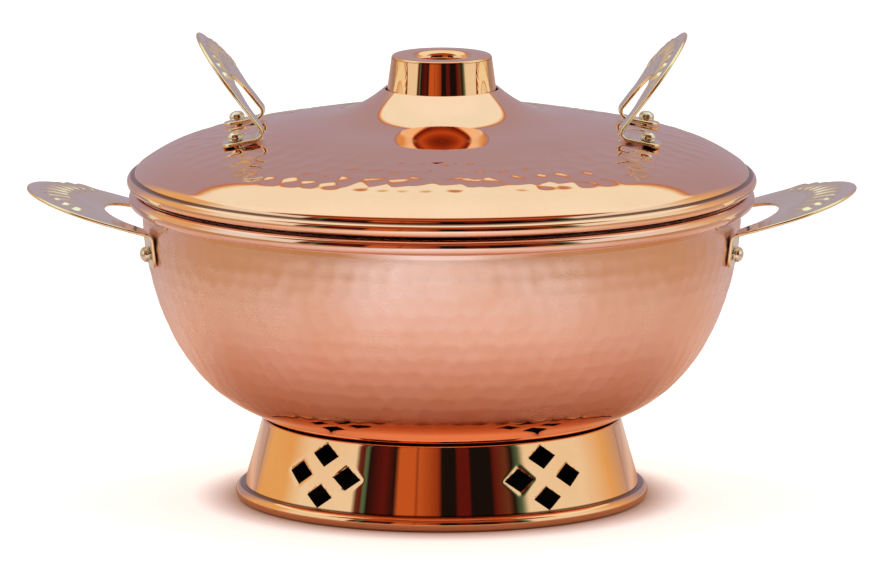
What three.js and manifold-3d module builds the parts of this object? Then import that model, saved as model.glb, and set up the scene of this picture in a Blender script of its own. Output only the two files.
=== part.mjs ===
// A copper chimney hot pot: a round bowl on a vented base, a tapered fire tube up the middle,
// a ring-shaped lid that lifts off over the tube, and four riveted brass handles.
// Millimetres, +Z up. The origin is the centre of the ring that the pot stands on, and the
// handles lie along X.
import * as THREE from 'three';
import { mergeVertices } from 'three/addons/utils/BufferGeometryUtils.js';
import Module from 'manifold-3d';

const manifold = await Module();
manifold.setup();

// Driving dimensions
const nominalDiameter = 260;
const bowlSheet = 1.0;
const lidSheet = 0.8;
const handleSheet = 1.5;
const fitGap = 0.35;
const wallRadius = nominalDiameter / 2 + bowlSheet;
const bowlBottomHeight = 31;
const wallTopHeight = 127;
const chimneyTopHeight = 195.8;
const chimneyTopRadius = 22;
const chimneyFlare = 0.133;
const baseTopRadius = 78.6;
const turnSegments = 40;
const throatSegments = 30;
const rivetSegments = 10;

const point = (radius, height) => new THREE.Vector2(radius, height);
const degrees = THREE.MathUtils.degToRad;

// --- Materials -----------------------------------------------------------------------------

const finishes = {
  hammeredCopper: { color: 0xd08a5e, roughness: 0.38, metalness: 1 },
  lidCopper: { color: 0xd89a78, roughness: 0.16, metalness: 1 },
  polishedCopper: { color: 0xd9853f, roughness: 0.1, metalness: 1 },
  brass: { color: 0xd9cfa6, roughness: 0.22, metalness: 1 },
  nickel: { color: 0xc9c8c2, roughness: 0.25, metalness: 1 },
  wire: { color: 0x8f8d88, roughness: 0.45, metalness: 1 },
};

function namedMesh(name, geometry, finish) {
  const mesh = new THREE.Mesh(geometry, new THREE.MeshStandardMaterial(finishes[finish]));
  mesh.name = name;
  return mesh;
}

// --- Solids --------------------------------------------------------------------------------

function mergedGeometry(geometry) {
  const bare = geometry.clone();
  bare.deleteAttribute('normal');
  bare.deleteAttribute('uv');
  return mergeVertices(bare, 1e-4);
}

function toSolid(geometry) {
  const merged = mergedGeometry(geometry);
  return new manifold.Manifold(new manifold.Mesh({
    numProp: 3,
    vertProperties: new Float32Array(merged.attributes.position.array),
    triVerts: new Uint32Array(merged.index.array),
  }));
}

function toGeometry(solid) {
  const { vertProperties, triVerts } = solid.getMesh();
  const geometry = new THREE.BufferGeometry();
  geometry.setAttribute('position', new THREE.Float32BufferAttribute(vertProperties, 3));
  geometry.setIndex(new THREE.BufferAttribute(triVerts, 1));
  return geometry;
}

function joined(geometries) {
  return toGeometry(geometries.map(toSolid).reduce((sum, solid) => sum.add(solid)));
}

function drilled(geometry, tools) {
  return toGeometry(tools.map(toSolid).reduce((sum, tool) => sum.subtract(tool), toSolid(geometry)));
}

// --- Spun sheet metal ----------------------------------------------------------------------

// Points on an arc in the radius-height plane, angles in degrees, 90 pointing up
function arc(centre, radius, from, to, steps) {
  return Array.from({ length: steps + 1 }, (_, step) => {
    const angle = degrees(from + (to - from) * step / steps);
    return point(centre.x + radius * Math.cos(angle), centre.y + radius * Math.sin(angle));
  });
}

// The same path moved sideways by a distance, to its left where the distance is positive
function offsetPath(path, distance) {
  const normals = path.slice(1).map((end, index) => {
    const along = end.clone().sub(path[index]).normalize();
    return point(-along.y, along.x);
  });
  return path.map((vertex, index) => {
    const before = normals[Math.max(index - 1, 0)];
    const after = normals[Math.min(index, normals.length - 1)];
    const mitre = before.clone().add(after).multiplyScalar(distance / (1 + before.dot(after)));
    return vertex.clone().add(mitre);
  });
}

// A closed outline turned about the Z axis
function spun(outline, segments = turnSegments) {
  const loop = THREE.ShapeUtils.area(outline) > 0 ? [...outline] : [...outline].reverse();
  loop.push(loop[0].clone());
  return new THREE.LatheGeometry(loop, segments).rotateX(Math.PI / 2);
}

function spunSheet(path, thickness, segments) {
  return spun([...path, ...offsetPath(path, thickness).reverse()], segments);
}

// A ring of wire, five-sided to stay light
function wireRing(centre, radius) {
  const wireSides = 5;
  const lastSide = 360 * (wireSides - 1) / wireSides;
  return spun(arc(centre, radius, 0, lastSide, wireSides - 1));
}

// --- Fire tube and its throat --------------------------------------------------------------

const chimneyRadiusAt = (height) => chimneyTopRadius + chimneyFlare * (chimneyTopHeight - height);
const throatSheet = 1.0;
const throatRadius = 12.2;
const throatDepth = 9;
const throatSeatGap = 0.3;
const tubeTopHeight = chimneyTopHeight - throatSheet - throatSeatGap;
const tubeFlangeHeight = bowlBottomHeight - fitGap;
const tubeFlangeRadius = 54;

function fireTube() {
  const path = [
    point(chimneyRadiusAt(tubeTopHeight), tubeTopHeight),
    point(chimneyRadiusAt(tubeFlangeHeight), tubeFlangeHeight),
    point(tubeFlangeRadius, tubeFlangeHeight),
  ];
  return spunSheet(path, -bowlSheet);
}

// A flat ring that closes the top of the tube down to a hole with a rounded, turned-in lip
function chimneyThroat() {
  const edgeRadius = 0.9;
  const lipRadius = 2.4;
  const edgeCentre = point(chimneyTopRadius - edgeRadius, chimneyTopHeight - edgeRadius);
  const lipCentre = point(throatRadius + lipRadius, chimneyTopHeight - lipRadius);
  const path = [
    ...arc(edgeCentre, edgeRadius, 0, 90, 2),
    ...arc(lipCentre, lipRadius, 90, 180, 3),
    point(throatRadius, chimneyTopHeight - throatDepth),
  ];
  return spunSheet(path, throatSheet, throatSegments);
}

// --- Bowl ----------------------------------------------------------------------------------

const bowlCollarHeight = 9;
const bowlFlatRadius = 60;
const baseSeatRadius = 88;
const baseSeatHeight = 42;
const bowlCurlRadius = 2.5;
const bowlCurlCentre = point(wallRadius + bowlCurlRadius, wallTopHeight + 6);
const floorSweep = 11;
const seatRun = point(10, 4.8);
const wallStart = point(34.8, 16.7);
const wallRun = 20;
const bowlFloor = new THREE.CubicBezierCurve(
  point(bowlFlatRadius, bowlBottomHeight),
  point(bowlFlatRadius + floorSweep, bowlBottomHeight),
  point(baseSeatRadius - seatRun.x, baseSeatHeight - seatRun.y),
  point(baseSeatRadius, baseSeatHeight),
);
const bowlWall = new THREE.CubicBezierCurve(
  point(baseSeatRadius, baseSeatHeight),
  point(baseSeatRadius + wallStart.x, baseSeatHeight + wallStart.y),
  point(wallRadius, wallTopHeight - wallRun),
  point(wallRadius, wallTopHeight),
);

// The path runs under the bowl and up its outside; the rim then rolls outwards over its wire
function bowlShell() {
  const collarRadius = chimneyRadiusAt(bowlBottomHeight) + fitGap;
  const collarBend = 3;
  const collarCentre = point(collarRadius + collarBend, bowlBottomHeight + collarBend);
  const collarTop = bowlBottomHeight + bowlCollarHeight;
  const curlEnd = -120;
  const path = [
    point(chimneyRadiusAt(collarTop) + fitGap, collarTop),
    ...arc(collarCentre, collarBend, 180, 270, 2),
    ...bowlFloor.getPoints(3),
    ...bowlWall.getPoints(7).slice(1),
    ...arc(bowlCurlCentre, bowlCurlRadius, 180, curlEnd, 5),
  ];
  return spunSheet(path, bowlSheet);
}

// --- Base skirt ----------------------------------------------------------------------------

const baseBeadRadius = 3.3;
const footFlatHalfAngle = 18;
const baseBeadCentre = point(87.3, baseBeadRadius * Math.cos(degrees(footFlatHalfAngle)));
const ventGroups = 5;
const firstVentAzimuth = -39;
const ventWidth = 14;
const ventHeight = 10.2;
const ventCentres = [
  { azimuth: 0, height: 29.3 },
  { azimuth: 0, height: 11.8 },
  { azimuth: -8.85, height: 20.4 },
  { azimuth: 8.85, height: 20.4 },
];

// The height of the bowl's underside at a radius, between its flat floor and the base seat
function bowlUndersideAt(radius) {
  let low = 0;
  let high = 1;
  for (let step = 0; step < 30; step += 1) {
    const middle = (low + high) / 2;
    if (bowlFloor.getPoint(middle).x < radius) low = middle;
    else high = middle;
  }
  return bowlFloor.getPoint(low).y;
}

// A lozenge prism that crosses the skirt at an azimuth counted from the front, -Y
function ventTool(azimuth, height) {
  const lozenge = new THREE.Shape([
    point(ventWidth / 2, 0), point(0, ventHeight / 2), point(-ventWidth / 2, 0), point(0, -ventHeight / 2),
  ]);
  const reach = 12;
  const innerReach = baseTopRadius - 4;
  const prism = new THREE.ExtrudeGeometry(lozenge, { depth: reach, bevelEnabled: false });
  prism.rotateX(Math.PI / 2).translate(0, -innerReach, height);
  return prism.rotateZ(degrees(azimuth));
}

function baseSkirt() {
  const flangeInner = 70;
  const flangeOuter = baseTopRadius - 1.2;
  const seatGap = 0.45;
  const cornerDrop = 0.8;
  const beadStart = 102;
  const beadEnd = -225;
  const footArc = arc(baseBeadCentre, baseBeadRadius, beadStart, -(90 - footFlatHalfAngle), 4);
  const innerArc = arc(baseBeadCentre, baseBeadRadius, -(90 + footFlatHalfAngle), beadEnd, 2);
  const path = [
    point(flangeInner, bowlUndersideAt(flangeInner) - seatGap),
    point(flangeOuter, bowlUndersideAt(flangeOuter) - seatGap),
    point(baseTopRadius, bowlUndersideAt(flangeOuter) - cornerDrop),
    ...footArc,
    ...innerArc,
  ];
  const tools = [];
  for (let group = 0; group < ventGroups; group += 1) {
    const groupAzimuth = firstVentAzimuth + group * 360 / ventGroups;
    for (const vent of ventCentres) tools.push(ventTool(groupAzimuth + vent.azimuth, vent.height));
  }
  return drilled(spunSheet(path, -bowlSheet), tools);
}

// --- Lid -----------------------------------------------------------------------------------

const lidCollarRadius = 25.2;
const lidCollarHeight = 181.2;
const lidShoulder = point(71.5, 165.2);
const lidEdge = point(132.7, 146.3);
const lidEdgeSlope = 35;
const lidRollRadius = 5;
const lidBeadRadius = 2.9;
const lidBeadCentre = point(135.1, 140.3);
const collarRun = point(17.2, 14.8);
const shoulderRun = point(17.8, 3.5);
const domeRun = point(39.7, 7.8);
const edgeRun = 14;
const lidFlare = new THREE.CubicBezierCurve(
  point(lidCollarRadius, lidCollarHeight),
  point(lidCollarRadius + collarRun.x, lidCollarHeight - collarRun.y),
  point(lidShoulder.x - shoulderRun.x, lidShoulder.y + shoulderRun.y),
  lidShoulder,
);
const lidDome = new THREE.CubicBezierCurve(
  lidShoulder,
  point(lidShoulder.x + domeRun.x, lidShoulder.y - domeRun.y),
  point(lidEdge.x - edgeRun, lidEdge.y + edgeRun * Math.tan(degrees(lidEdgeSlope))),
  lidEdge,
);

// The path runs out over the lid, rolls down at its edge to a crease and goes on round the bead
function lidShell() {
  const rollEnd = 12;
  const beadStart = 98;
  const beadEnd = -225;
  const down = degrees(lidEdgeSlope);
  const rollCentre = point(
    lidEdge.x - lidRollRadius * Math.sin(down), lidEdge.y - lidRollRadius * Math.cos(down));
  const path = [
    ...lidFlare.getPoints(5),
    ...lidDome.getPoints(5).slice(1),
    ...arc(rollCentre, lidRollRadius, 90 - lidEdgeSlope, rollEnd, 2).slice(1),
    ...arc(lidBeadCentre, lidBeadRadius, beadStart, beadEnd, 6).slice(1),
  ];
  return spunSheet(path, -lidSheet);
}

// --- Handles -------------------------------------------------------------------------------
// A handle is one pressed plate. Its own frame has X from the bend to the tip, Y across and Z out
// of the upper face; each leg then bends back below the plate into a riveted foot.

const bendRadius = 2.4;
const outerBend = bendRadius + handleSheet;
const rivetEdgeDistance = 6;
const rivetHoleRadius = 2.35;

const sideHandle = {
  halfWidth: 41.5, legWidth: 14.5, plateLength: 53.8, noseLength: 38, slotLength: 18.4, footLength: 13,
  plateAngle: 15.6, splay: 15.6,
};
const lidHandle = {
  halfWidth: 35, legWidth: 14, plateLength: 45.8, noseLength: 30, slotLength: 22.9, footLength: 14.7,
  plateAngle: 52.5, splay: 4,
};
const legCentre = (handle) => handle.halfWidth - handle.legWidth / 2;
const stripWidth = (handle) => handle.legWidth - 1;

function handlePlate(handle) {
  const shoulder = handle.plateLength - handle.noseLength;
  const slotHalfWidth = handle.halfWidth - handle.legWidth;
  const outline = new THREE.Shape();
  outline.moveTo(0, -handle.halfWidth);
  outline.lineTo(shoulder, -handle.halfWidth);
  outline.absellipse(shoulder, 0, handle.noseLength, handle.halfWidth, -Math.PI / 2, Math.PI / 2, false);
  outline.lineTo(0, handle.halfWidth);
  outline.lineTo(0, slotHalfWidth);
  outline.absellipse(0, 0, handle.slotLength, slotHalfWidth, Math.PI / 2, -Math.PI / 2, true);
  const plate = new THREE.ExtrudeGeometry(outline, {
    depth: handleSheet, bevelEnabled: false, curveSegments: 9,
  });
  return plate.translate(0, 0, -handleSheet);
}

// A short flat root on the plate, the bend, and the first of the foot, in one constant section
function legBend(handle, turn) {
  const root = 6;
  const overlap = 1;
  const centre = point(0, -outerBend);
  const end = 90 + turn;
  const along = point(-Math.sin(degrees(end)), Math.cos(degrees(end))).multiplyScalar(overlap);
  const outer = arc(centre, outerBend, 90, end, 5);
  const inner = arc(centre, bendRadius, 90, end, 5).reverse();
  const section = new THREE.Shape([
    point(root, -handleSheet), point(root, 0), ...outer,
    outer[outer.length - 1].clone().add(along), inner[0].clone().add(along), ...inner,
  ]);
  const strip = new THREE.ExtrudeGeometry(section, { depth: stripWidth(handle), bevelEnabled: false });
  return strip.rotateX(Math.PI / 2).translate(0, stripWidth(handle) / 2, 0);
}

// The frame of a foot: X along it from the bend, Z out of its inner face, where the rivet head sits
function footFrame(turn) {
  const end = degrees(90 + turn);
  const frame = new THREE.Group();
  frame.position.set(bendRadius * Math.cos(end), 0, bendRadius * Math.sin(end) - outerBend);
  frame.rotation.y = -(end + Math.PI / 2);
  return frame;
}

function footPlate(handle) {
  const half = stripWidth(handle) / 2;
  const corner = 4.5;
  const end = handle.footLength;
  const outline = new THREE.Shape();
  outline.moveTo(0, -half);
  outline.lineTo(end - corner, -half);
  outline.absarc(end - corner, corner - half, corner, -Math.PI / 2, 0, false);
  outline.absarc(end - corner, half - corner, corner, 0, Math.PI / 2, false);
  outline.lineTo(0, half);
  const hole = new THREE.Path();
  hole.absarc(end - rivetEdgeDistance, 0, rivetHoleRadius, 0, 2 * Math.PI, true);
  outline.holes.push(hole);
  const foot = new THREE.ExtrudeGeometry(outline, {
    depth: handleSheet, bevelEnabled: false, curveSegments: 4,
  });
  return foot.translate(0, 0, -handleSheet);
}

function legFrame(handle, side) {
  const frame = new THREE.Group();
  frame.position.y = side * legCentre(handle);
  frame.rotation.z = side * degrees(handle.splay);
  return frame;
}

function handleGeometry(handle, turn) {
  const pieces = [handlePlate(handle)];
  for (const side of [-1, 1]) {
    const leg = legFrame(handle, side);
    const foot = footFrame(turn);
    leg.add(foot);
    leg.updateMatrixWorld(true);
    pieces.push(legBend(handle, turn).applyMatrix4(leg.matrixWorld));
    pieces.push(footPlate(handle).applyMatrix4(foot.matrixWorld));
  }
  return joined(pieces);
}

// --- Rivets and their burrs ----------------------------------------------------------------

const rivetShankRadius = 2.0;
const rivetHeadRadius = 3.4;
const rivetHeadHeight = 3.6;
const burrRadius = 4.4;
const burrThickness = 1.0;
const stackGap = 0.3;
const burrGap = 0.8;

// Depths below a foot's inner face, through the foot and the sheet, to the burr and the tail
function rivetStack(sheet) {
  const burrTop = handleSheet + fitGap + sheet + burrGap;
  const burrBottom = burrTop + burrThickness;
  return { burrTop, burrBottom, tail: burrBottom + stackGap };
}

function rivet(sheet) {
  const tail = rivetStack(sheet).tail;
  const tailRadius = 3.2;
  const tailTaper = 0.75;
  const tailHeight = 1.2;
  const straight = 1.2;
  const dome = arc(point(0, stackGap + straight), 1, 0, 90, 3).map((vertex) => point(
    vertex.x * rivetHeadRadius,
    stackGap + straight + (vertex.y - stackGap - straight) * (rivetHeadHeight - straight),
  ));
  dome[dome.length - 1].x = 0;
  const outline = [
    point(0, -tail - tailHeight), point(tailRadius * tailTaper, -tail - tailHeight), point(tailRadius, -tail),
    point(rivetShankRadius, -tail), point(rivetShankRadius, stackGap), point(rivetHeadRadius, stackGap),
    ...dome,
  ];
  return new THREE.LatheGeometry(outline, rivetSegments).rotateX(Math.PI / 2);
}

function burr(sheet) {
  const { burrTop, burrBottom } = rivetStack(sheet);
  const washer = [
    point(rivetHoleRadius, -burrTop), point(burrRadius, -burrTop),
    point(burrRadius, -burrBottom), point(rivetHoleRadius, -burrBottom),
  ];
  return spun(washer, rivetSegments);
}

// A hole through the foot, the sheet and what lies between, wide enough for the shank
function rivetDrill(frame) {
  const drillLength = 9;
  const drill = new THREE.CylinderGeometry(rivetHoleRadius, rivetHoleRadius, drillLength, rivetSegments);
  return drill.rotateX(Math.PI / 2).applyMatrix4(frame.matrixWorld);
}

// --- A handle riveted to a sheet -----------------------------------------------------------

// Where a curve, as a sheet's outside, crosses a value of one coordinate, and its slope there
function surfaceAt(curve, coordinate, value) {
  const rising = curve.getPoint(1)[coordinate] > curve.getPoint(0)[coordinate];
  let low = 0;
  let high = 1;
  for (let step = 0; step < 30; step += 1) {
    const middle = (low + high) / 2;
    if ((curve.getPoint(middle)[coordinate] < value) === rising) low = middle;
    else high = middle;
  }
  const tangent = curve.getTangent(low);
  return { place: curve.getPoint(low), angle: THREE.MathUtils.radToDeg(Math.atan2(tangent.y, tangent.x)) };
}

// Puts one handle, its rivets and its burrs on a sheet. The rivets' place is on the sheet's
// outside at X across the handle's middle plane, and the foot runs at its own angle from +X.
function rivetedHandle({ kind, handle, sheet, seat, footAngle, name, facing }) {
  const turn = 180 - (handle.plateAngle - footAngle);
  const plateFrame = new THREE.Group();
  plateFrame.rotation.y = -degrees(handle.plateAngle);
  const frames = [-1, 1].map((side) => {
    const leg = legFrame(handle, side);
    const foot = footFrame(turn);
    const rivetPlace = new THREE.Group();
    rivetPlace.position.x = handle.footLength - rivetEdgeDistance;
    plateFrame.add(leg);
    leg.add(foot);
    foot.add(rivetPlace);
    return rivetPlace;
  });
  plateFrame.updateMatrixWorld(true);
  const seatPoint = new THREE.Vector3(0, 0, -handleSheet - fitGap).applyMatrix4(frames[1].matrixWorld);
  const seatX = Math.sqrt(seat.x ** 2 - seatPoint.y ** 2);
  plateFrame.position.set(seatX - seatPoint.x, 0, seat.y - seatPoint.z);

  plateFrame.add(namedMesh(`${kind}_handle_${name}`, handleGeometry(handle, turn), 'brass'));
  frames.forEach((frame, index) => {
    const front = (index === 0) === (facing === 0);
    const suffix = `${name}_${front ? 'front' : 'back'}`;
    frame.add(namedMesh(`${kind}_rivet_${suffix}`, rivet(sheet), 'nickel'));
    frame.add(namedMesh(`${kind}_burr_${suffix}`, burr(sheet), 'polishedCopper'));
  });
  const assembly = new THREE.Group();
  assembly.rotation.z = facing;
  assembly.add(plateFrame);
  assembly.updateMatrixWorld(true);
  return { assembly, drills: frames.map(rivetDrill) };
}

const sides = [{ name: 'right', facing: 0 }, { name: 'left', facing: Math.PI }];
const sideRivetHeight = 113.3;
const lidRivetRadius = 93.7;

function handlesOnBowl() {
  const { place, angle } = surfaceAt(bowlWall, 'y', sideRivetHeight);
  return sides.map((side) => rivetedHandle({
    ...side, kind: 'side', handle: sideHandle, sheet: bowlSheet, seat: place, footAngle: angle - 180,
  }));
}

function handlesOnLid() {
  const { place, angle } = surfaceAt(lidDome, 'x', lidRivetRadius);
  return sides.map((side) => rivetedHandle({
    ...side, kind: 'lid', handle: lidHandle, sheet: lidSheet, seat: place, footAngle: angle,
  }));
}

// --- The whole pot -------------------------------------------------------------------------

const drillsOf = (handles) => handles.flatMap((entry) => entry.drills);
const wireClearance = 0.5;
const baseBeadFacetReach = baseBeadRadius * Math.cos(degrees(22.5));

function pot() {
  const body = new THREE.Group();
  const handles = handlesOnBowl();
  body.add(
    namedMesh('bowl', drilled(bowlShell(), drillsOf(handles)), 'hammeredCopper'),
    namedMesh('bowl_rim_wire', wireRing(bowlCurlCentre, bowlCurlRadius - wireClearance), 'wire'),
    namedMesh('fire_tube', fireTube(), 'polishedCopper'),
    namedMesh('chimney_throat', chimneyThroat(), 'polishedCopper'),
    namedMesh('base_skirt', baseSkirt(), 'polishedCopper'),
    namedMesh('base_rim_wire', wireRing(
      baseBeadCentre, baseBeadFacetReach - bowlSheet - wireClearance), 'wire'),
    ...handles.map((entry) => entry.assembly),
  );
  return body;
}

function lid() {
  const body = new THREE.Group();
  const handles = handlesOnLid();
  body.add(
    namedMesh('lid', drilled(lidShell(), drillsOf(handles)), 'lidCopper'),
    namedMesh('lid_rim_wire', wireRing(
      lidBeadCentre, lidBeadRadius - lidSheet - wireClearance), 'wire'),
    ...handles.map((entry) => entry.assembly),
  );
  return body;
}

const hotPot = new THREE.Group();
hotPot.add(pot(), lid());

export default hotPot;
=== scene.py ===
"""The looks of a copper chimney hot pot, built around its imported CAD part.

Metres in Blender, and millimetres inside the outline functions. +Z is up, -Y is the front.
"""

import math

import bmesh
import bpy
import numpy as np
from mathutils import Matrix, Vector
from mathutils.kdtree import KDTree


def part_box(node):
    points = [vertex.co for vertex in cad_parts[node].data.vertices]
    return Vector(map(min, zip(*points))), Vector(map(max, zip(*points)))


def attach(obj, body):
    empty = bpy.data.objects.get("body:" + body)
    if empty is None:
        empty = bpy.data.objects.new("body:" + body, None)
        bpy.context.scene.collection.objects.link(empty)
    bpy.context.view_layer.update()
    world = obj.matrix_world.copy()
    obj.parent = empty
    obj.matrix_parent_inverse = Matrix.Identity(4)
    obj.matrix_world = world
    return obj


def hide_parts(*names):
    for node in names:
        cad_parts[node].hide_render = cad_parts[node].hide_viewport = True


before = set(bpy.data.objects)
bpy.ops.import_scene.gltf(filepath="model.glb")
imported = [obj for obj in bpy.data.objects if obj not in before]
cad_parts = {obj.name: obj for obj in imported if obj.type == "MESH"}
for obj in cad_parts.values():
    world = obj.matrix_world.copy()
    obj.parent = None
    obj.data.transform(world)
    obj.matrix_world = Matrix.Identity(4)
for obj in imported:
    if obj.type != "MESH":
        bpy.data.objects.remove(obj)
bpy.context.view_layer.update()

MM = 0.001
rng = np.random.default_rng(12)


def corner(node, which):
    """The lowest (0) or highest (1) corner of a CAD node's box, in millimetres."""
    return np.array(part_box(node)[which]) / MM


# Driving dimensions, read from the frame or worked out from it
sheet = 1.0
lid_sheet = 0.8
handle_sheet = 1.5
curl_outer = 3.5
curl_inner = curl_outer - sheet
curl_centre = corner("bowl", 1)[[0, 2]] - curl_outer
wall_radius = curl_centre[0] - curl_inner
curl_rise = 6
wall_top = curl_centre[1] - curl_rise
bowl_bottom = corner("bowl", 0)[2]
seat_radius = 88
seat_rise = 11
seat_height = bowl_bottom + seat_rise
chimney_top = corner("chimney_throat", 1)[2]
chimney_radius = corner("chimney_throat", 1)[0]
chimney_flare = 0.133
fit_gap = 0.35
base_bead = 3.3
foot_flat_half_angle = 18
base_bead_centre = (corner("base_skirt", 1)[0] - base_bead,
                    base_bead * math.cos(math.radians(foot_flat_half_angle)))
base_top_radius = 78.6
lid_bead = 2.9
lid_bead_centre = (corner("lid", 1)[0] - lid_bead,
                   (corner("lid_rim_wire", 0)[2] + corner("lid_rim_wire", 1)[2]) / 2)
lid_roll = 5
lid_collar_radius = 25.2
lid_collar = (lid_collar_radius, corner("lid", 1)[2])
shoulder_radius = 71.5
shoulder_fall = 16
lid_shoulder = (shoulder_radius, lid_collar[1] - shoulder_fall)
edge_back = 2.4
edge_rise = 6
lid_edge = (lid_bead_centre[0] - edge_back, lid_bead_centre[1] + edge_rise)
wire_clearance = 0.5
base_wire_radius = 1.5


# --- Outlines in the radius-height plane, in millimetres -------------------------------------


def arc(centre, radius, start, end, steps):
    """Points on an arc, angles in degrees, 90 pointing up."""
    angles = np.radians(np.linspace(start, end, steps + 1))
    return np.column_stack([centre[0] + radius * np.cos(angles), centre[1] + radius * np.sin(angles)])


def bezier(points, steps=300):
    """Points on a cubic curve."""
    a, b, c, d = (np.array(p, float) for p in points)
    t = np.linspace(0, 1, steps + 1)[:, None]
    return (1 - t) ** 3 * a + 3 * (1 - t) ** 2 * t * b + 3 * (1 - t) * t**2 * c + t**3 * d


def spaced(path, spacing):
    """The path with points at an even distance along it."""
    path = np.array(path, float)
    length = np.concatenate([[0], np.cumsum(np.linalg.norm(np.diff(path, axis=0), axis=1))])
    wanted = np.linspace(0, length[-1], max(2, round(length[-1] / spacing) + 1))
    return np.column_stack([np.interp(wanted, length, path[:, k]) for k in (0, 1)])


def chained(*paths):
    """Paths end to end, without the points that they share."""
    path = np.concatenate([np.array(p, float).reshape(-1, 2) for p in paths])
    step = np.linalg.norm(np.diff(path, axis=0), axis=1)
    return path[np.concatenate([[True], step > 1e-4])]


def left_normals(path):
    """Unit normals to the left of a path, at its points."""
    along = np.gradient(path, axis=0)
    along /= np.linalg.norm(along, axis=1)[:, None]
    return np.column_stack([-along[:, 1], along[:, 0]])


def sheet_outline(path, thickness, thin=1, turn=180):
    """A closed outline of sheet metal: the path, and back along its other face, to its left. That
    face keeps one point in so many, and one wherever it has turned by so many degrees."""
    normals = left_normals(path)
    other = path + normals * thickness
    kept = [0]
    for index in range(1, len(other)):
        turned_by = math.degrees(math.acos(np.clip(normals[index] @ normals[kept[-1]], -1, 1)))
        if index - kept[-1] == thin or turned_by > turn or index == len(other) - 1:
            kept.append(index)
    return np.concatenate([path, other[kept][::-1]])


# --- Meshes ------------------------------------------------------------------------------------


def mesh_object(name, vertices, faces, body, node, material, sharp=35):
    """A smooth-shaded piece that rides on a body and stands for a CAD node. Vertices in millimetres."""
    mesh = bpy.data.meshes.new(name)
    mesh.from_pydata((np.array(vertices) * MM).tolist(), [], faces)
    bm = bmesh.new()
    bm.from_mesh(mesh)
    bmesh.ops.remove_doubles(bm, verts=bm.verts, dist=1e-7)
    bm.to_mesh(mesh)
    bm.free()
    mesh.shade_smooth()
    mesh.set_sharp_from_angle(angle=math.radians(sharp))
    mesh.materials.append(material)
    piece = bpy.data.objects.new(name, mesh)
    bpy.context.scene.collection.objects.link(piece)
    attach(piece, body)
    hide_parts(node)
    return piece


def ring_faces(rows, columns, closed_rows=True):
    """Quads of a grid whose columns close on themselves, and whose rows may."""
    i, j = np.meshgrid(np.arange(rows if closed_rows else rows - 1), np.arange(columns), indexing="ij")
    below = (i + 1) % rows
    beside = (j + 1) % columns
    corners = [
        i * columns + j, i * columns + beside, below * columns + beside, below * columns + j,
    ]
    return np.stack(corners, axis=-1).reshape(-1, 4)


def turned(outline, segments, shape=None):
    """Vertices and faces of an outline turned about Z. shape(points) says how far each one moves
    along the outline's outward normal."""
    following = np.roll(outline, -1, axis=0)
    area = np.sum(outline[:, 0] * following[:, 1] - following[:, 0] * outline[:, 1])
    outline = outline if area > 0 else outline[::-1]
    angles = np.linspace(0, 2 * np.pi, segments, endpoint=False)
    circle = np.column_stack([np.cos(angles), np.sin(angles)])

    def swept(profile):
        flat = profile[:, None, :1] * circle
        height = np.broadcast_to(profile[:, None, 1:], flat[..., :1].shape)
        return np.concatenate([flat, height], axis=-1).reshape(-1, 3)

    vertices = swept(outline)
    if shape:
        vertices = vertices + shape(vertices)
    return vertices, ring_faces(len(outline), segments).tolist()


# --- Hammer marks --------------------------------------------------------------------------------


def hammer_marks(path, pitch, spread):
    """Centres of hammer blows in uneven rows round a surface."""
    row_share = 0.84
    rise_share = 0.5
    marks = []
    for radius, height in spaced(path, pitch * row_share):
        count = round(2 * math.pi * radius / pitch)
        angles = (np.arange(count) + rng.random()) * 2 * np.pi / count
        angles += rng.normal(0, spread, count) / radius
        radii = radius + rng.normal(0, spread, count)
        heights = np.full(count, height) + rng.normal(0, spread * rise_share, count)
        marks.append(np.column_stack([radii * np.cos(angles), radii * np.sin(angles), heights]))
    return np.concatenate(marks)


def hammered(path, outward, marks, pitch, curvature, weight):
    """A shape function: each place is dented by the blow nearest to it, along the path's normal."""
    tree = KDTree(len(marks))
    for index, mark in enumerate(marks):
        tree.insert(mark, index)
    tree.balance()
    normals = left_normals(path) * outward
    furthest = 0.6 * pitch
    deepest = furthest**2 / (2 * curvature)

    def shape(points):
        radius = np.hypot(points[:, 0], points[:, 1])
        flat = np.column_stack([radius, points[:, 2]])
        moves = np.zeros_like(points)
        profile = KDTree(len(path))
        for index, place in enumerate(path):
            profile.insert((place[0], place[1], 0), index)
        profile.balance()
        known = {}
        for index, (place, point) in enumerate(zip(flat, points)):
            key = (round(place[0], 3), round(place[1], 3))
            if key not in known:
                known[key] = profile.find((place[0], place[1], 0))[1]
            nearest = known[key]
            share = weight[nearest]
            if share <= 0:
                continue
            distance = tree.find(point)[2]
            depth = share * min(distance**2 / (2 * curvature) - deepest, 0)
            across = normals[nearest] * depth
            moves[index] = (
                across[0] * point[0] / radius[index],
                across[0] * point[1] / radius[index],
                across[1],
            )
        return moves

    return shape


def smoothstep(value, low, high):
    """0 below low, 1 above high, and a smooth rise between."""
    t = np.clip((value - low) / (high - low), 0, 1)
    return t * t * (3 - 2 * t)


# --- Materials -----------------------------------------------------------------------------------


def add(tree, kind, inputs=None, **settings):
    """A shader node with its settings, and its inputs set or linked."""
    made = tree.nodes.new("ShaderNode" + kind)
    for key, value in settings.items():
        setattr(made, key, value)
    for socket, value in (inputs or {}).items():
        if isinstance(value, bpy.types.NodeSocket):
            tree.links.new(value, made.inputs[socket])
        else:
            made.inputs[socket].default_value = value
    return made


def calc(tree, operation, *values):
    """The result of a sum in shader nodes."""
    return add(tree, "Math", dict(enumerate(values)), operation=operation).outputs[0]


def noise(tree, vector, scale, detail=3):
    """Cloudy noise from 0 to 1, repeating about scale times a metre."""
    inputs = {"Vector": vector, "Scale": scale, "Detail": detail}
    return add(tree, "TexNoise", inputs).outputs["Fac"]


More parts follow.
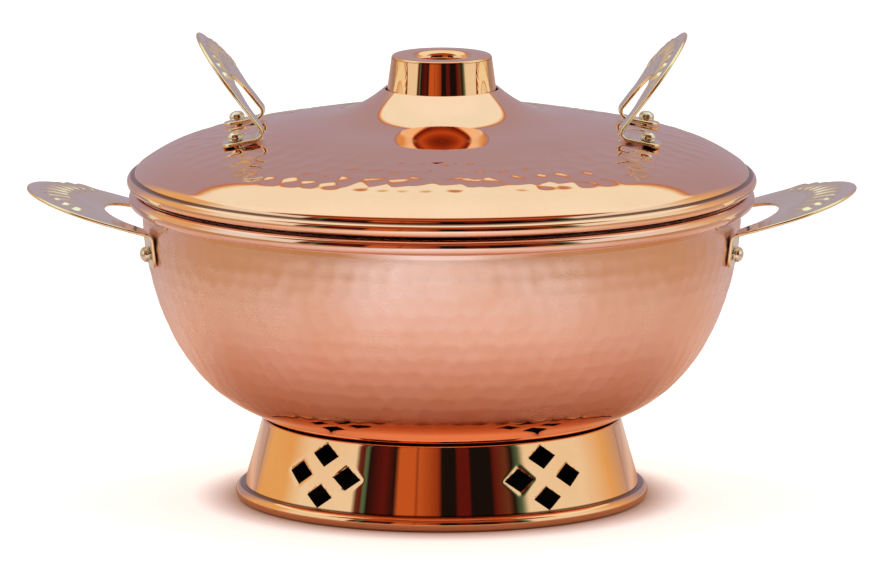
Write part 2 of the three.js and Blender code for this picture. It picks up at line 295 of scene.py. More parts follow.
def ranged(tree, value, low, high, to_low, to_high):
    """Maps a value from one range to another, and keeps it inside."""
    inputs = {"Value": value, "From Min": low, "From Max": high, "To Min": to_low, "To Max": to_high}
    return add(tree, "MapRange", inputs, clamp=True).outputs[0]


def mixed(tree, factor, first, second):
    """The first colour where the factor is 0, and the second where it is 1."""
    inputs = {"Factor": factor, 6: first, 7: second}
    return add(tree, "Mix", inputs, data_type="RGBA").outputs[2]


def colour(red, green, blue):
    return (red, green, blue, 1)


def from_axis(tree, axes):
    """How far a place is from the Z axis."""
    squares = [calc(tree, "POWER", axes[k], 2.0) for k in (0, 1)]
    return calc(tree, "SQRT", calc(tree, "ADD", *squares))


# How many times a metre each kind of unevenness repeats
streak_scale = 2600.0
pebble_scale = 1100.0
speck_scale = 420.0
cloud_scale = 24.0

# Painted shade and painted reflection: the redder tone low on the bowl and on its polished foot
low_shade_tint = colour(0.95, 0.34, 0.14)
# Painted shade: the thin dark line along a crease
crease_shade_tint = colour(0.10, 0.02, 0.01)


def grain_lines(tree, axes, grain):
    """Coordinates in which noise is drawn out round the Z axis, or along X where it is brushed."""
    if grain == "turned":
        metres_per_radian = 0.004
        angle = calc(tree, "ARCTAN2", axes[0], axes[1])
        drawn_out = calc(tree, "MULTIPLY", angle, metres_per_radian)
        lines = add(tree, "CombineXYZ", {0: from_axis(tree, axes), 1: axes[2], 2: drawn_out})
    else:
        shrink = 0.12
        lines = add(tree, "CombineXYZ", {
            0: calc(tree, "MULTIPLY", axes[0], shrink), 1: axes[1], 2: axes[2],
        })
    return lines.outputs[0]


def shaded_low(tree, height, satin, tint):
    """The tint reddened as painted shade: a little towards the lower satin height, and fully below it.
    """
    reach = 0.055
    edge = 0.001
    fading = ranged(tree, height, satin[0], satin[0] + reach, 0.42, 0.0)
    full = ranged(tree, height, satin[0] - edge, satin[0] + 2 * edge, 1.0, 0.0)
    return mixed(tree, calc(tree, "MAXIMUM", fading, full), tint, low_shade_tint)


def crease_shaded(tree, height, crease, tint):
    """The tint with a thin painted shadow line at the height of a crease."""
    from_crease = calc(tree, "ABSOLUTE", calc(tree, "SUBTRACT", height, crease))
    return mixed(tree, ranged(tree, from_crease, 0.0002, 0.0006, 0.9, 0.0), tint, crease_shade_tint)


def satin_share(tree, height, satin):
    """1 between the satin heights, and a small share outside them."""
    mirror = 0.12
    above_low = ranged(tree, height, satin[0], satin[0] + 0.003, mirror, 1.0)
    below_high = ranged(tree, height, satin[1] - 0.001, satin[1], 1.0, mirror)
    return calc(tree, "MULTIPLY", above_low, below_high)


def metal(name, fresh, aged, roughness, grain="turned", grain_depth=0.000004, smudge=0.05,
          satin=None, edge_tint=None, crease=None):
    """Worked metal: fine grain from polishing or spinning, smudges, and a warmer, duller patina.
    Outside the satin heights it is polished like a mirror, and towards the lower one its colour
    reddens as painted shade and painted reflection. Its edges may take another colour, and a crease
    round it at a height gets a thin painted shadow line.
    Heights are in metres."""
    material = bpy.data.materials.new(name)
    material.use_nodes = True
    tree = material.node_tree
    shader = tree.nodes["Principled BSDF"]
    shader.inputs["Metallic"].default_value = 1
    place = add(tree, "TexCoord").outputs["Object"]
    axes = add(tree, "SeparateXYZ", {0: place}).outputs
    streaks = noise(tree, grain_lines(tree, axes, grain), streak_scale, 2)
    clouds = noise(tree, place, cloud_scale, 4)
    specks = noise(tree, place, speck_scale, 3)
    age = calc(tree, "ADD", ranged(tree, clouds, 0.4, 0.7, 0.0, 0.7),
               ranged(tree, specks, 0.55, 0.8, 0.0, 0.3))
    tint = mixed(tree, age, fresh, aged)
    if satin:
        tint = shaded_low(tree, axes[2], satin, tint)
    if crease:
        tint = crease_shaded(tree, axes[2], crease, tint)
    if edge_tint:
        # Sharp edges and ribs, found by pointiness, take the edge tint
        edge = ranged(tree, add(tree, "NewGeometry").outputs["Pointiness"], 0.505, 0.56, 0.0, 0.9)
        tint = mixed(tree, edge, tint, edge_tint)
    tree.links.new(tint, shader.inputs["Base Color"])
    dull = calc(tree, "ADD", ranged(tree, clouds, 0.35, 0.7, roughness, roughness + smudge),
                ranged(tree, streaks, 0.4, 0.7, 0.0, smudge * 0.5))
    matt = 1.0
    if satin:
        matt = satin_share(tree, axes[2], satin)
        dull = calc(tree, "MULTIPLY", dull, matt)
    tree.links.new(dull, shader.inputs["Roughness"])
    bump = add(tree, "Bump", {"Height": streaks, "Distance": grain_depth, "Strength": matt})
    if satin:
        pebble_depth = 0.00003
        pebbles = noise(tree, place, pebble_scale, 2)
        bump = add(tree, "Bump", {
            "Height": pebbles, "Distance": pebble_depth, "Strength": matt, "Normal": bump.outputs[0],
        })
    tree.links.new(bump.outputs[0], shader.inputs["Normal"])
    return material


satin_heights = (0.0485, 0.1275)
bowl_copper = metal("bowl_copper", colour(0.92, 0.64, 0.58), colour(0.87, 0.51, 0.38), 0.26,
                    grain_depth=0.000008, smudge=0.07, satin=satin_heights)
lid_copper = metal("lid_copper", colour(0.96, 0.64, 0.49), colour(0.93, 0.58, 0.43), 0.035,
                   grain_depth=0.0000015, smudge=0.03, crease=(lid_bead_centre[1] + lid_bead) * MM)
polished_copper = metal("polished_copper", colour(0.96, 0.60, 0.38), colour(0.93, 0.51, 0.29), 0.025,
                        grain_depth=0.000001, smudge=0.02,
                        crease=(base_bead_centre[1] + base_bead) * MM)
sooted_copper = metal("sooted_copper", colour(0.10, 0.045, 0.025), colour(0.03, 0.018, 0.012), 0.5,
                      grain_depth=0.000010, smudge=0.2)
handle_brass = metal("handle_brass", colour(0.92, 0.90, 0.80), colour(0.91, 0.84, 0.64), 0.10,
                     grain="brushed", smudge=0.06, edge_tint=colour(0.90, 0.66, 0.28))
rivet_nickel = metal("rivet_nickel", colour(0.84, 0.82, 0.77), colour(0.72, 0.68, 0.60), 0.14,
                     grain="brushed")
rim_wire = metal("rim_wire", colour(0.55, 0.54, 0.52), colour(0.40, 0.36, 0.32), 0.40)


def soot_inside(piece, reach):
    """Gives the sooted finish to the faces that look in towards the flame. reach(height) is the
    radius within which they lie, both in millimetres."""
    level = 0.9
    piece.data.materials.append(sooted_copper)
    for face in piece.data.polygons:
        radius = math.hypot(face.center[0], face.center[1])
        inward = face.normal[0] * face.center[0] + face.normal[1] * face.center[1] < 0
        if (inward or abs(face.normal[2]) > level) and radius / MM < reach(face.center[2] / MM):
            face.material_index = 1


# --- Spun pieces ---------------------------------------------------------------------------------


def chimney_radius_at(height):
    return chimney_radius + chimney_flare * (chimney_top - height)


def bowl_floor():
    """The bottom of the bowl, from its flat middle up to where the base's skirt meets it."""
    flat_radius = 60
    sweep = 11
    seat_run = (10, 4.8)
    return bezier([
        (flat_radius, bowl_bottom), (flat_radius + sweep, bowl_bottom),
        (seat_radius - seat_run[0], seat_height - seat_run[1]), (seat_radius, seat_height),
    ])


def bowl_piece():
    """The bowl: smooth round its foot and rim, hammered between, its rim rolled over a wire."""
    collar_radius = chimney_radius_at(bowl_bottom) + fit_gap
    bend = 3
    collar_height = 9
    collar_top = bowl_bottom + collar_height
    wall_start = (34.8, 16.7)
    wall_run = 20
    wall = bezier([
        (seat_radius, seat_height), (seat_radius + wall_start[0], seat_height + wall_start[1]),
        (wall_radius, wall_top - wall_run), (wall_radius, wall_top),
    ])
    collar = [
        (chimney_radius_at(collar_top) + fit_gap, collar_top), (collar_radius, bowl_bottom + bend),
    ]
    path = chained(
        spaced(collar, 2),
        arc((collar_radius + bend, bowl_bottom + bend), bend, 180, 270, 6),
        spaced(bowl_floor(), 3.6),
        spaced(wall, 1.5),
        arc(curl_centre, curl_inner, 180, -120, 28),
    )
    pitch = 8.6
    curvature = 46
    smooth_foot = (94, 102)
    smooth_rim = (wall_top - 6, wall_top - 1)
    weight = smoothstep(path[:, 0], *smooth_foot) * (1 - smoothstep(path[:, 1], *smooth_rim))
    marks = hammer_marks(wall, pitch, 1.0)
    shape = hammered(path, -1, marks, pitch, curvature, weight)
    vertices, faces = turned(sheet_outline(path, sheet, thin=6, turn=6), 560, shape)
    return mesh_object("bowl_visual", vertices, faces, "pot", "bowl", bowl_copper)


def lid_piece():
    """The ring-shaped lid: a flared collar, a hammered dome, a smooth edge and a rolled bead."""
    collar_run = (17.2, 14.8)
    shoulder_run = (17.8, 3.5)
    flare = bezier([
        lid_collar, (lid_collar[0] + collar_run[0], lid_collar[1] - collar_run[1]),
        (lid_shoulder[0] - shoulder_run[0], lid_shoulder[1] + shoulder_run[1]), lid_shoulder,
    ])
    dome_run = (39.7, 7.8)
    edge_run = 14
    edge_slope = 35
    slope = math.radians(edge_slope)
    dome = bezier([
        lid_shoulder, (lid_shoulder[0] + dome_run[0], lid_shoulder[1] - dome_run[1]),
        (lid_edge[0] - edge_run, lid_edge[1] + edge_run * math.tan(slope)), lid_edge,
    ])
    roll_end = 12
    bead_start = 98
    bead_end = -225
    roll_centre = lid_edge - lid_roll * np.array([math.sin(slope), math.cos(slope)])
    path = chained(
        spaced(flare, 2), spaced(dome, 1.2),
        arc(roll_centre, lid_roll, 90 - edge_slope, roll_end, 8)[1:],
        arc(lid_bead_centre, lid_bead, bead_start, bead_end, 28)[1:],
    )
    pitch = 10.5
    curvature = 46
    smooth_middle = (70, 94)
    smooth_edge = (114, 122)
    weight = smoothstep(path[:, 0], *smooth_middle) * (1 - smoothstep(path[:, 0], *smooth_edge))
    marks = hammer_marks(chained(flare, dome), pitch, 1.3)
    shape = hammered(path, 1, marks, pitch, curvature, weight)
    vertices, faces = turned(sheet_outline(path, -lid_sheet, thin=4), 640, shape)
    return mesh_object("lid_visual", vertices, faces, "lid", "lid", lid_copper)


def fire_tube_piece():
    """The tapered tube and the flange at its foot, sooted inside."""
    seam = 0.02
    flange_radius = 54
    top = chimney_top - sheet - seam
    flange = bowl_bottom - fit_gap
    foot = (chimney_radius_at(flange), flange)
    path = chained(
        spaced([(chimney_radius_at(top), top), foot], 6),
        spaced([foot, (flange_radius, flange)], 3),
    )
    vertices, faces = turned(sheet_outline(path, -sheet), 256)
    piece = mesh_object("fire_tube_visual", vertices, faces, "pot", "fire_tube",
                        polished_copper)

    def lining(height):
        tube_foot = 33
        mid_sheet = sheet / 2
        return chimney_radius_at(height) - mid_sheet if height > tube_foot else flange_radius + 1

    soot_inside(piece, lining)
    return piece


def throat_piece():
    """The flat ring on the chimney, turned down into the tube round its hole."""
    throat_radius = 11.2
    throat_depth = 9
    edge = 0.9
    lip = 3.4
    path = chained(
        arc((chimney_radius - edge, chimney_top - edge), edge, 0, 90, 6),
        arc((throat_radius + lip, chimney_top - lip), lip, 90, 180, 12),
        [(throat_radius, chimney_top - throat_depth)],
    )
    vertices, faces = turned(sheet_outline(path, sheet), 192)
    return mesh_object("chimney_throat_visual", vertices, faces, "pot", "chimney_throat",
                       polished_copper)


vent_width = 14
vent_height = 10.2
vent_groups = 5
first_vent_azimuth = -39
vent_spread = 8.85
# The azimuth of each vent in a group, from the group's own, and its height
vents = [(0, 29.3), (0, 11.8), (-vent_spread, 20.4), (vent_spread, 20.4)]
vent_azimuths = [first_vent_azimuth + 360 / vent_groups * group for group in range(vent_groups)]


def punched(points):
    """The skirt's sheet is drawn in a little round each vent's edge."""
    moves = np.zeros_like(points)
    radius = np.hypot(points[:, 0], points[:, 1])
    azimuth = np.degrees(np.arctan2(points[:, 0], -points[:, 1]))
    edge_scale = vent_width * vent_height / math.hypot(vent_width, vent_height) / 2
    depth = 0.3
    reach = 0.6
    for group in vent_azimuths:
        for turn, height in vents:
            away = (azimuth - group - turn + 180) % 360 - 180
            share = np.abs(np.radians(away)) * radius / (vent_width / 2)
            share += np.abs(points[:, 2] - height) / (vent_height / 2)
            inward = depth * np.exp(-((np.maximum(share - 1, 0) * edge_scale / reach) ** 2))
            moves[:, 0] -= inward * points[:, 0] / radius
            moves[:, 1] -= inward * points[:, 1] / radius
    return moves


def vent_cutter():
    """Every vent's lozenge prism, as one mesh object."""
    inner_reach = base_top_radius - 8
    outer_reach = base_top_radius + 14
    vertices = []
    faces = []
    for group in vent_azimuths:
        for turn, height in vents:
            azimuth = math.radians(group + turn)
            across = np.array([math.cos(azimuth), math.sin(azimuth), 0])
            outward = np.array([math.sin(azimuth), -math.cos(azimuth), 0])
            first = len(vertices)
            for reach in (inner_reach, outer_reach):
                middle = outward * reach + np.array([0, 0, height])
                for side, rise in ((1, 0), (0, 1), (-1, 0), (0, -1)):
                    offset = across * side * vent_width / 2 + np.array([0, 0, rise * vent_height / 2])
                    vertices.append(middle + offset)
            faces += [[first + k for k in (3, 2, 1, 0)], [first + k for k in (4, 5, 6, 7)]]
            for near, far in ((0, 1), (1, 2), (2, 3), (3, 0)):
                faces.append([first + near, first + far, first + 4 + far, first + 4 + near])
    mesh = bpy.data.meshes.new("vent_cutter")
    mesh.from_pydata((np.array(vertices) * MM).tolist(), [], faces)
    bm = bmesh.new()
    bm.from_mesh(mesh)
    bmesh.ops.recalc_face_normals(bm, faces=bm.faces)
    bm.to_mesh(mesh)
    bm.free()
    cutter = bpy.data.objects.new("vent_cutter", mesh)
    bpy.context.scene.collection.objects.link(cutter)
    return cutter


def skirt_piece():
    """The flared base: a flange under the bowl, a straight skirt with vents, and a rolled foot."""
    floor = bowl_floor()
    seat_gap = 0.45
    flange_inner = 70

    def under_bowl(radius):
        return np.interp(radius, floor[:, 0], floor[:, 1]) - seat_gap

    bend_back = 1.3
    flange_end = base_top_radius - bend_back
    top = (flange_end, under_bowl(flange_end))
    shoulder = (base_top_radius + 0.2, top[1] - 1.1)
    bend = [top, (base_top_radius - 0.4, top[1] + 0.35), (base_top_radius - 0.1, top[1]), shoulder]
    bead_start = 102
    bead_end = -225
    foot_arc = arc(base_bead_centre, base_bead, bead_start, -(90 - foot_flat_half_angle), 22)
    path = chained(
        spaced([(flange_inner, under_bowl(flange_inner)), top], 1.2),
        bezier(bend, 8),
        spaced([shoulder, foot_arc[0]], 0.9),
        foot_arc,
        arc(base_bead_centre, base_bead, -(90 + foot_flat_half_angle), bead_end, 12),
    )
    vertices, faces = turned(sheet_outline(path, -sheet, thin=2, turn=20), 600, punched)
    piece = mesh_object("base_skirt_visual", vertices, faces, "pot", "base_skirt",
                        polished_copper)
    cutter = vent_cutter()
    cut = piece.modifiers.new("vents", "BOOLEAN")
    cut.object = cutter
    cut.operation = "DIFFERENCE"
    cut.solver = "EXACT"
    bpy.context.view_layer.update()
    graph = bpy.context.evaluated_depsgraph_get()
    result = bpy.data.meshes.new_from_object(piece.evaluated_get(graph))
    piece.modifiers.clear()
    piece.data = result
    result.set_sharp_from_angle(angle=math.radians(35))
    bpy.data.objects.remove(cutter)

    def lining(height):
        skirt_top = 36
        skirt_flare = 0.27
        inside_face = 0.6
        return base_top_radius + (skirt_top - height) * skirt_flare - inside_face

    soot_inside(piece, lining)
    return piece


def wire_piece(node, body, radius):
    """A ring of round wire, centred on its CAD node."""
    sides = 24
    low, high = corner(node, 0), corner(node, 1)
    centre = (high[0] - radius, (low[2] + high[2]) / 2)
    vertices, faces = turned(arc(centre, radius, 0, 360 - 360 / sides, sides - 1), 256)
    return mesh_object(node + "_visual", vertices, faces, body, node, rim_wire)


# --- Rivets, burrs and handles ---------------------------------------------------------------


def flat_axis(node):
    """The centre of a flat CAD node, in millimetres, and its axis, pointing out of the pot."""
    points = np.array([vertex.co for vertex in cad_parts[node].data.vertices]) / MM
    centre = (points.min(0) + points.max(0)) / 2
    axis = np.linalg.svd(points - points.mean(0))[2][2]
    outward = np.array([centre[0], centre[1], 0]) / math.hypot(centre[0], centre[1]) + [0, 0, 1]
    return centre, axis * np.sign(axis @ outward)


def placed(vertices, centre, axis):
    """Vertices turned about Z, moved so that Z lies along the axis through the centre."""
    turn = np.array(Vector((0, 0, 1)).rotation_difference(Vector(axis)).to_matrix())
    return vertices @ turn.T + centre


burr_half_height = 0.5
stack_gap = 0.3


def burr_outline():
    """Half the section of the washer under a rivet's tail, about its own middle."""
    hole = 2.35
    rounding = 0.25
    outer = 4.4 - rounding
    upper = burr_half_height - rounding
    return chained(
        [(hole, -burr_half_height)], arc((outer, -upper), rounding, -90, 0, 3),
        arc((outer, upper), rounding, 0, 90, 3), [(hole, burr_half_height)],
    )


def rivet_outline(thickness):
    """Half the section of a domed rivet, through a sheet of that thickness, about its burr's middle."""
    burr_gap = 0.8
    shank = 2
    head = np.array([3.4, 2.4])
    straight = 1.2
    rounding = 0.4
    tail = np.array([3.2, 1.2])
    seat = burr_half_height + burr_gap + thickness + fit_gap + handle_sheet + stack_gap
    tail_height = -burr_half_height - stack_gap
    outline = chained(
        arc((0, 0), 1, -90, 0, 8) * tail + (0, tail_height),
        [(shank, tail_height), (shank, seat)],
        arc((head[0] - rounding, seat + rounding), rounding, -90, 0, 3),
        arc((0, 0), 1, 0, 90, 12) * head + (0, seat + straight),
    )
    outline[[0, -1], 0] = 0
    return outline


def rivet_and_burr(kind, suffix, body, thickness):
    """A domed rivet through the foot and the sheet, and the washer under its tail."""
    burr_node = f"{kind}_burr_{suffix}"
    rivet_node = f"{kind}_rivet_{suffix}"
    centre, axis = flat_axis(burr_node)
    vertices, faces = turned(burr_outline(), 48)
    mesh_object(burr_node + "_visual", placed(vertices, centre, axis), faces, body, burr_node,
                polished_copper)
    vertices, faces = turned(rivet_outline(thickness), 64)
    mesh_object(rivet_node + "_visual", placed(vertices, centre, axis), faces, body, rivet_node,
                rivet_nickel)


side_size = {
    "half_width": 41.5, "leg_width": 14.5, "length": 53.8, "nose": 38, "slot": 18.4, "foot": 13,
    "angle": 15.6, "splay": 15.6,
}
lid_size = {
    "half_width": 35, "leg_width": 14, "length": 45.8, "nose": 30, "slot": 22.9, "foot": 14.7,
    "angle": 52.5, "splay": 4,
}
bend_radius = 2.4
outer_bend = bend_radius + handle_sheet
edge_round = handle_sheet / 2
across_points = 26


def turn_matrix(angle, axis):
    """A turn by an angle in degrees about X, Y or Z."""
    return np.array(Matrix.Rotation(math.radians(angle), 3, axis))


def section(origin, across, up, half, rise=None):
    """One closed section of a handle: over its upper face, round an edge, back under, round again."""
    share = np.sin(np.linspace(-math.pi / 2, math.pi / 2, across_points))
    rise = np.zeros(across_points) if rise is None else rise(share)
    flat = share * (half - edge_round)
    upper = np.column_stack([flat, rise])
    lower = np.column_stack([flat, rise - handle_sheet])[::-1]
    bend = np.radians(np.linspace(90, -90, 9)[1:-1])
    edge = np.column_stack([
        half - edge_round + edge_round * np.cos(bend), edge_round * (np.sin(bend) - 1),
    ])
    loop = np.concatenate([upper, edge, lower, edge[::-1] * (-1, 1)])
    return origin + loop[:, :1] * across + loop[:, 1:] * up


def plate_edges(size, angle):
    """Where a ray from the middle of the bend meets the slot and the outside of the plate."""
    ray = np.array([math.cos(angle), math.sin(angle)])
    slot_half = size["half_width"] - size["leg_width"]
    inner = 1 / math.hypot(ray[0] / size["slot"], ray[1] / slot_half)
    shoulder = size["length"] - size["nose"]
    side = size["half_width"] / abs(ray[1]) if ray[1] else math.inf
    if side * ray[0] > shoulder:
        a = (ray[0] / size["nose"]) ** 2 + (ray[1] / size["half_width"]) ** 2
        b = -2 * ray[0] * shoulder / size["nose"] ** 2
        c = (shoulder / size["nose"]) ** 2 - 1
        side = (-b + math.sqrt(b * b - 4 * a * c)) / (2 * a)
    return ray * inner, ray * side


def plate_rows(size):
    """Sections round the horseshoe, crowned, with a raised and ribbed crescent at its far end."""
    rows = []
    crown = 1.5
    band_height = 0.2
    rib_height = 0.7
    rib_angle = math.radians(9)
    crown_fade = np.radians([48, 82])
    band_ends = np.radians([46, 56])
    band_inner = (-0.25, -0.1)
    band_outer = (0.62, 0.74)
    half_sweep = 80
    for angle in np.radians(np.linspace(-half_sweep, half_sweep, 221)):
        inner, outer = plate_edges(size, angle)
        centre = np.append((inner + outer) / 2, 0)
        across = np.append(outer - inner, 0)
        width = np.linalg.norm(across)
        fade = 1 - smoothstep(abs(angle), *crown_fade)
        band_fade = 1 - smoothstep(abs(angle), *band_ends)

        def rise(share, fade=fade, band_fade=band_fade, angle=angle):
            band = smoothstep(share, *band_inner) * (1 - smoothstep(share, *band_outer))
            ribs = 0.5 + 0.5 * math.cos(2 * math.pi * angle / rib_angle)
            return crown * fade * (1 - share**2) + band * band_fade * (band_height + rib_height * ribs)

        rows.append(section(centre, across / width, np.array([0, 0, 1]), width / 2, rise))
    return rows


def leg_rows(size, side, axis):
    """Sections of a leg, from the plate round the bend and down the foot. The axis is the rivet's."""
    leg = turn_matrix(side * size["splay"], "Z")
    origin = np.array([0, side * (size["half_width"] - size["leg_width"] / 2), 0])
    local = leg.T @ axis
    turn = math.atan2(local[0], -local[2])
    across = leg @ np.array([0, side, 0])
    trim = 1
    half = (size["leg_width"] - trim) / 2
    corner_radius = 4.5
    rows = []
    for angle in np.linspace(math.pi / 2, math.pi / 2 + turn, 13):
        up = np.array([math.cos(angle), 0, math.sin(angle)])
        start = up * outer_bend - (0, 0, outer_bend)
        rows.append(section(origin + leg @ start, across, leg @ up, half))
    along = np.array([-up[2], 0, up[0]])
    straight_end = size["foot"] - corner_radius
    first_step = 1.5
    first_turn = 0.15
    tip_share = 0.98
    straight = np.linspace(first_step, straight_end, 5)
    rounded = straight_end + corner_radius * np.sin(np.linspace(first_turn, math.pi / 2, 9))
    for distance in np.concatenate([straight, rounded]):
        past = max(distance - straight_end, 0)
        narrowing = corner_radius - math.sqrt(max(corner_radius**2 - past**2, 0))
        place = origin + leg @ (start + along * distance)
        rows.append(section(place, across, leg @ up, half - narrowing * tip_share))
    return rows


def handle_piece(kind, size, name, facing, body, thickness):
    """A pressed handle with its two riveted feet."""
    node = f"{kind}_handle_{name}"
    tilt = math.radians(size["angle"])
    spin = turn_matrix(180 if facing < 0 else 0, "Z")
    furthest = corner(node, 1)[0] if facing > 0 else -corner(node, 0)[0]
    origin = np.array([
        furthest - size["length"] * math.cos(tilt) - handle_sheet * math.sin(tilt),
        0,
        corner(node, 1)[2] - size["length"] * math.sin(tilt),
    ])
    turn = spin @ turn_matrix(-size["angle"], "Y")
    legs = []
    for side in (-1, 1):
        suffix = f"{name}_{'front' if side * facing < 0 else 'back'}"
        axis = flat_axis(f"{kind}_burr_{suffix}")[1]
        legs.append(leg_rows(size, side, turn.T @ axis))
        rivet_and_burr(kind, suffix, body, thickness)
    rows = legs[0][::-1] + plate_rows(size) + legs[1]
    columns = len(rows[0])
    vertices = np.concatenate(rows) @ turn.T + spin @ origin
    faces = ring_faces(len(rows), columns, closed_rows=False).tolist()
    last = (len(rows) - 1) * columns
    faces += [list(range(columns))[::-1], [last + k for k in range(columns)]]
    return mesh_object(node + "_visual", vertices, faces, body, node, handle_brass,
                       sharp=50)


def build_pot():
    bowl_piece()
    fire_tube_piece()
    throat_piece()
    skirt_piece()
    wire_piece("bowl_rim_wire", "pot", curl_inner - wire_clearance)
    wire_piece("base_rim_wire", "pot", base_wire_radius)


def build_lid():
    lid_piece()
    wire_piece("lid_rim_wire", "lid", lid_bead - lid_sheet - wire_clearance)


build_pot()
build_lid()
for side_name, side_facing in (("right", 1), ("left", -1)):
    handle_piece("side", side_size, side_name, side_facing, "pot", sheet)
    handle_piece("lid", lid_size, side_name, side_facing, "lid", lid_sheet)


# --- Floor, studio and camera --------------------------------------------------------------------


def table_colour(tree, place, away, axes):
    """The floor as the metal sees it: a warm painted shadow close to the pot, pale further off, brown
    at the sides, dim behind, and painted shade, black, under the pot."""
    # Painted shadow: the floor is warmer and darker close to the pot
    near = ranged(tree, away, 0.10, 0.50, 0.0, 1.0)
    aside = ranged(tree, calc(tree, "ABSOLUTE", axes[0]), 0.12, 0.45, 0.0, 1.0)
    behind = ranged(tree, axes[1], 0.05, 0.45, 0.0, 1.0)
    # Painted shade: the floor is black inside the foot, where it is seen through the vents
    beyond_foot = ranged(tree, away, 0.080, 0.088, 0.0, 1.0)
    grain = ranged(tree, noise(tree, place, 3.0, 2), 0.3, 0.7, 0.0, 0.06)
    painted_shadow_warm = colour(0.66, 0.42, 0.30)
    pale = colour(0.82, 0.88, 0.96)
    side_brown = colour(0.43, 0.25, 0.10)
    dim = colour(0.44, 0.37, 0.41)
    shade = colour(0.01, 0.01, 0.01)
    table = mixed(tree, near, painted_shadow_warm, pale)
    table = mixed(tree, aside, table, side_brown)
    table = mixed(tree, behind, table, dim)
    table = mixed(tree, beyond_foot, shade, table)
    return mixed(tree, grain, table, colour(1, 1, 1))


def studio_floor():
    """A pale floor, lit up to white for the camera everywhere but under the pot."""
    half = 5
    mesh = bpy.data.meshes.new("studio_floor")
    corners = [(-half, -half, 0), (half, -half, 0), (half, half, 0), (-half, half, 0)]
    mesh.from_pydata(corners, [], [(0, 1, 2, 3)])
    material = bpy.data.materials.new("studio_floor")
    material.use_nodes = True
    tree = material.node_tree
    shader = tree.nodes["Principled BSDF"]
    place = add(tree, "TexCoord").outputs["Object"]
    axes = add(tree, "SeparateXYZ", {0: place}).outputs
    away = from_axis(tree, axes)
    tree.links.new(table_colour(tree, place, away, axes), shader.inputs["Base Color"])
    shader.inputs["Roughness"].default_value = 0.9
    glow_strength = 0.72
    dark_radius = 0.088
    lit_radius = 0.11
    glow = add(tree, "Emission", {"Color": colour(1, 1, 1), "Strength": glow_strength})
    outside = ranged(tree, away, dark_radius, lit_radius, 0.0, 1.0)
    seen = calc(tree, "MULTIPLY", add(tree, "LightPath").outputs["Is Camera Ray"], outside)
    both = add(tree, "AddShader", {0: shader.outputs[0], 1: glow.outputs[0]})
    choice = add(tree, "MixShader", {0: seen, 1: shader.outputs[0], 2: both.outputs[0]})
    tree.links.new(choice.outputs[0], tree.nodes["Material Output"].inputs["Surface"])
    mesh.materials.append(material)
    floor = bpy.data.objects.new("studio_floor", mesh)
    bpy.context.scene.collection.objects.link(floor)


mauve = (0.44, 0.36, 0.42)
white = (1.0, 1.08, 0.92)
cream = (0.95, 1.04, 0.86)
card = (0.88, 0.93, 0.80)
amber = (0.80, 0.56, 0.24)
orange = (0.55, 0.14, 0.035)
black = (0.010, 0.008, 0.008)
brown = (0.14, 0.05, 0.025)
wine = (0.11, 0.012, 0.010)
rust = (0.28, 0.05, 0.015)
green = (0.10, 0.20, 0.12)

# What stands round the pot, by the angle from the front, which is negative to the left
room = [
    (-180, mauve), (-150, mauve), (-132, amber), (-108, amber), (-92, card), (-56, card), (-54, brown),
    (-50.5, wine), (-49.5, green), (-48, green), (-47, black), (-36, wine), (-29, black), (-27, orange),
    (-16.5, orange), (-15.8, wine), (-15, orange), (-2, rust), (0, black), (9, black), (10, wine),
    (17, wine), (18, black), (31, black), (33, wine), (41, brown), (45, black), (50, green), (54, card),
    (95, card), (120, amber), (150, mauve),
]
# What hangs over it, by the angle from the back horizon, over the top to the front horizon
ceiling = [
    (0, mauve), (40, mauve), (41, orange), (42.5, amber), (44, cream), (60, cream), (74, white),
    (102, white), (105, amber), (108, orange), (112, wine), (119, rust), (128, orange), (137, rust),
    (143, wine), (147, black), (180, black),
]


def ramp(tree, factor, stops, low, high):
    """A colour ramp whose stops are given on the scale of low to high."""
    made = add(tree, "ValToRGB", {"Fac": factor})
    elements = made.color_ramp.elements
    while len(elements) > 1:
        elements.remove(elements[-1])
    elements[0].position = 0
    elements[0].color = colour(*stops[0][1])
    for value, tone in stops[1:]:
        elements.new((value - low) / (high - low)).color = colour(*tone)
    return made.outputs[0]


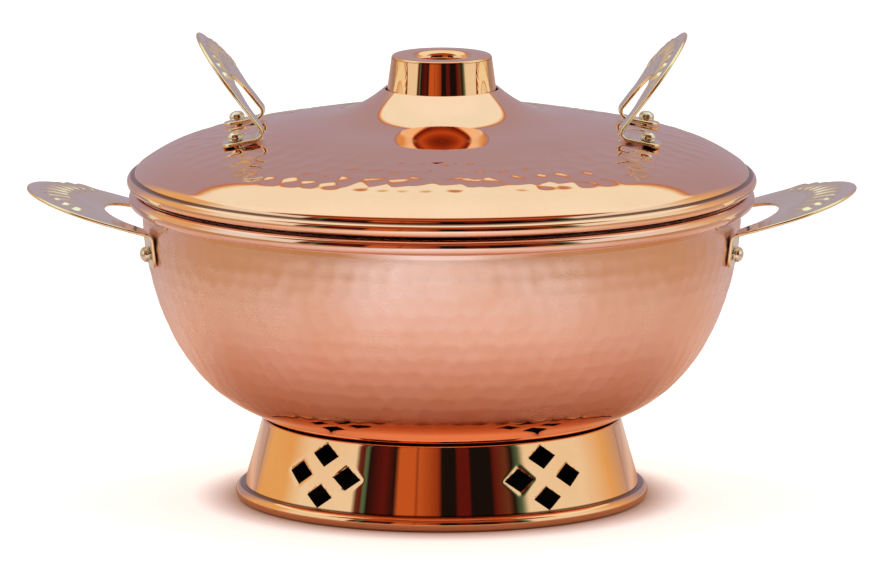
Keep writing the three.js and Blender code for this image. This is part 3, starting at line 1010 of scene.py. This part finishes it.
def studio_world():
    """A soft studio, as the metal sees it: light cards at the sides and overhead, and a dim room."""
    world = bpy.data.worlds.new("studio")
    world.use_nodes = True
    tree = world.node_tree
    toward = add(tree, "TexCoord").outputs["Generated"]
    axes = add(tree, "SeparateXYZ", {0: toward}).outputs
    full_turn = 2 * math.pi
    azimuth = calc(tree, "ARCTAN2", axes[0], calc(tree, "MULTIPLY", axes[1], -1.0))
    round_share = calc(tree, "ADD", calc(tree, "DIVIDE", azimuth, full_turn), 0.5)
    around = ramp(tree, round_share, room, -180, 180)
    over = calc(tree, "DIVIDE", calc(tree, "ARCTAN2", axes[2], axes[1]), math.pi)
    overhead = ramp(tree, over, ceiling, 0, 180)
    room_top = math.radians(33)
    ceiling_start = math.radians(37)
    elevation = calc(tree, "ARCSINE", axes[2])
    high = ranged(tree, elevation, room_top, ceiling_start, 0.0, 1.0)
    background = tree.nodes["Background"]
    tree.links.new(mixed(tree, high, around, overhead), background.inputs["Color"])
    bpy.context.scene.world = world


def studio_camera():
    """A long lens, a little above the rim, square to the handles."""
    elevation = math.radians(9.75)
    distance = 6
    aim = Vector((0.0012, 0, 0.0956))
    camera = bpy.data.objects.new("camera", bpy.data.cameras.new("camera"))
    bpy.context.scene.collection.objects.link(camera)
    camera.location = aim + distance * Vector((0, -math.cos(elevation), math.sin(elevation)))
    camera.rotation_euler = (math.pi / 2 - elevation, 0, 0)
    camera.data.sensor_width = 36
    camera.data.lens = 554
    camera.data.clip_end = 50
    bpy.context.scene.camera = camera


def overhead_light():
    """A broad soft lamp over the pot, which the metal itself doesn't mirror."""
    side = 3.2
    height = 2.4
    lamp = bpy.data.lights.new("overhead", "AREA")
    lamp.shape = "SQUARE"
    lamp.size = side
    lamp.energy = 55
    light = bpy.data.objects.new("overhead", lamp)
    light.location = (0, 0, height)
    light.visible_glossy = False
    bpy.context.scene.collection.objects.link(light)


studio_floor()
overhead_light()
studio_world()
studio_camera()
bpy.context.scene.view_settings.view_transform = "Standard"
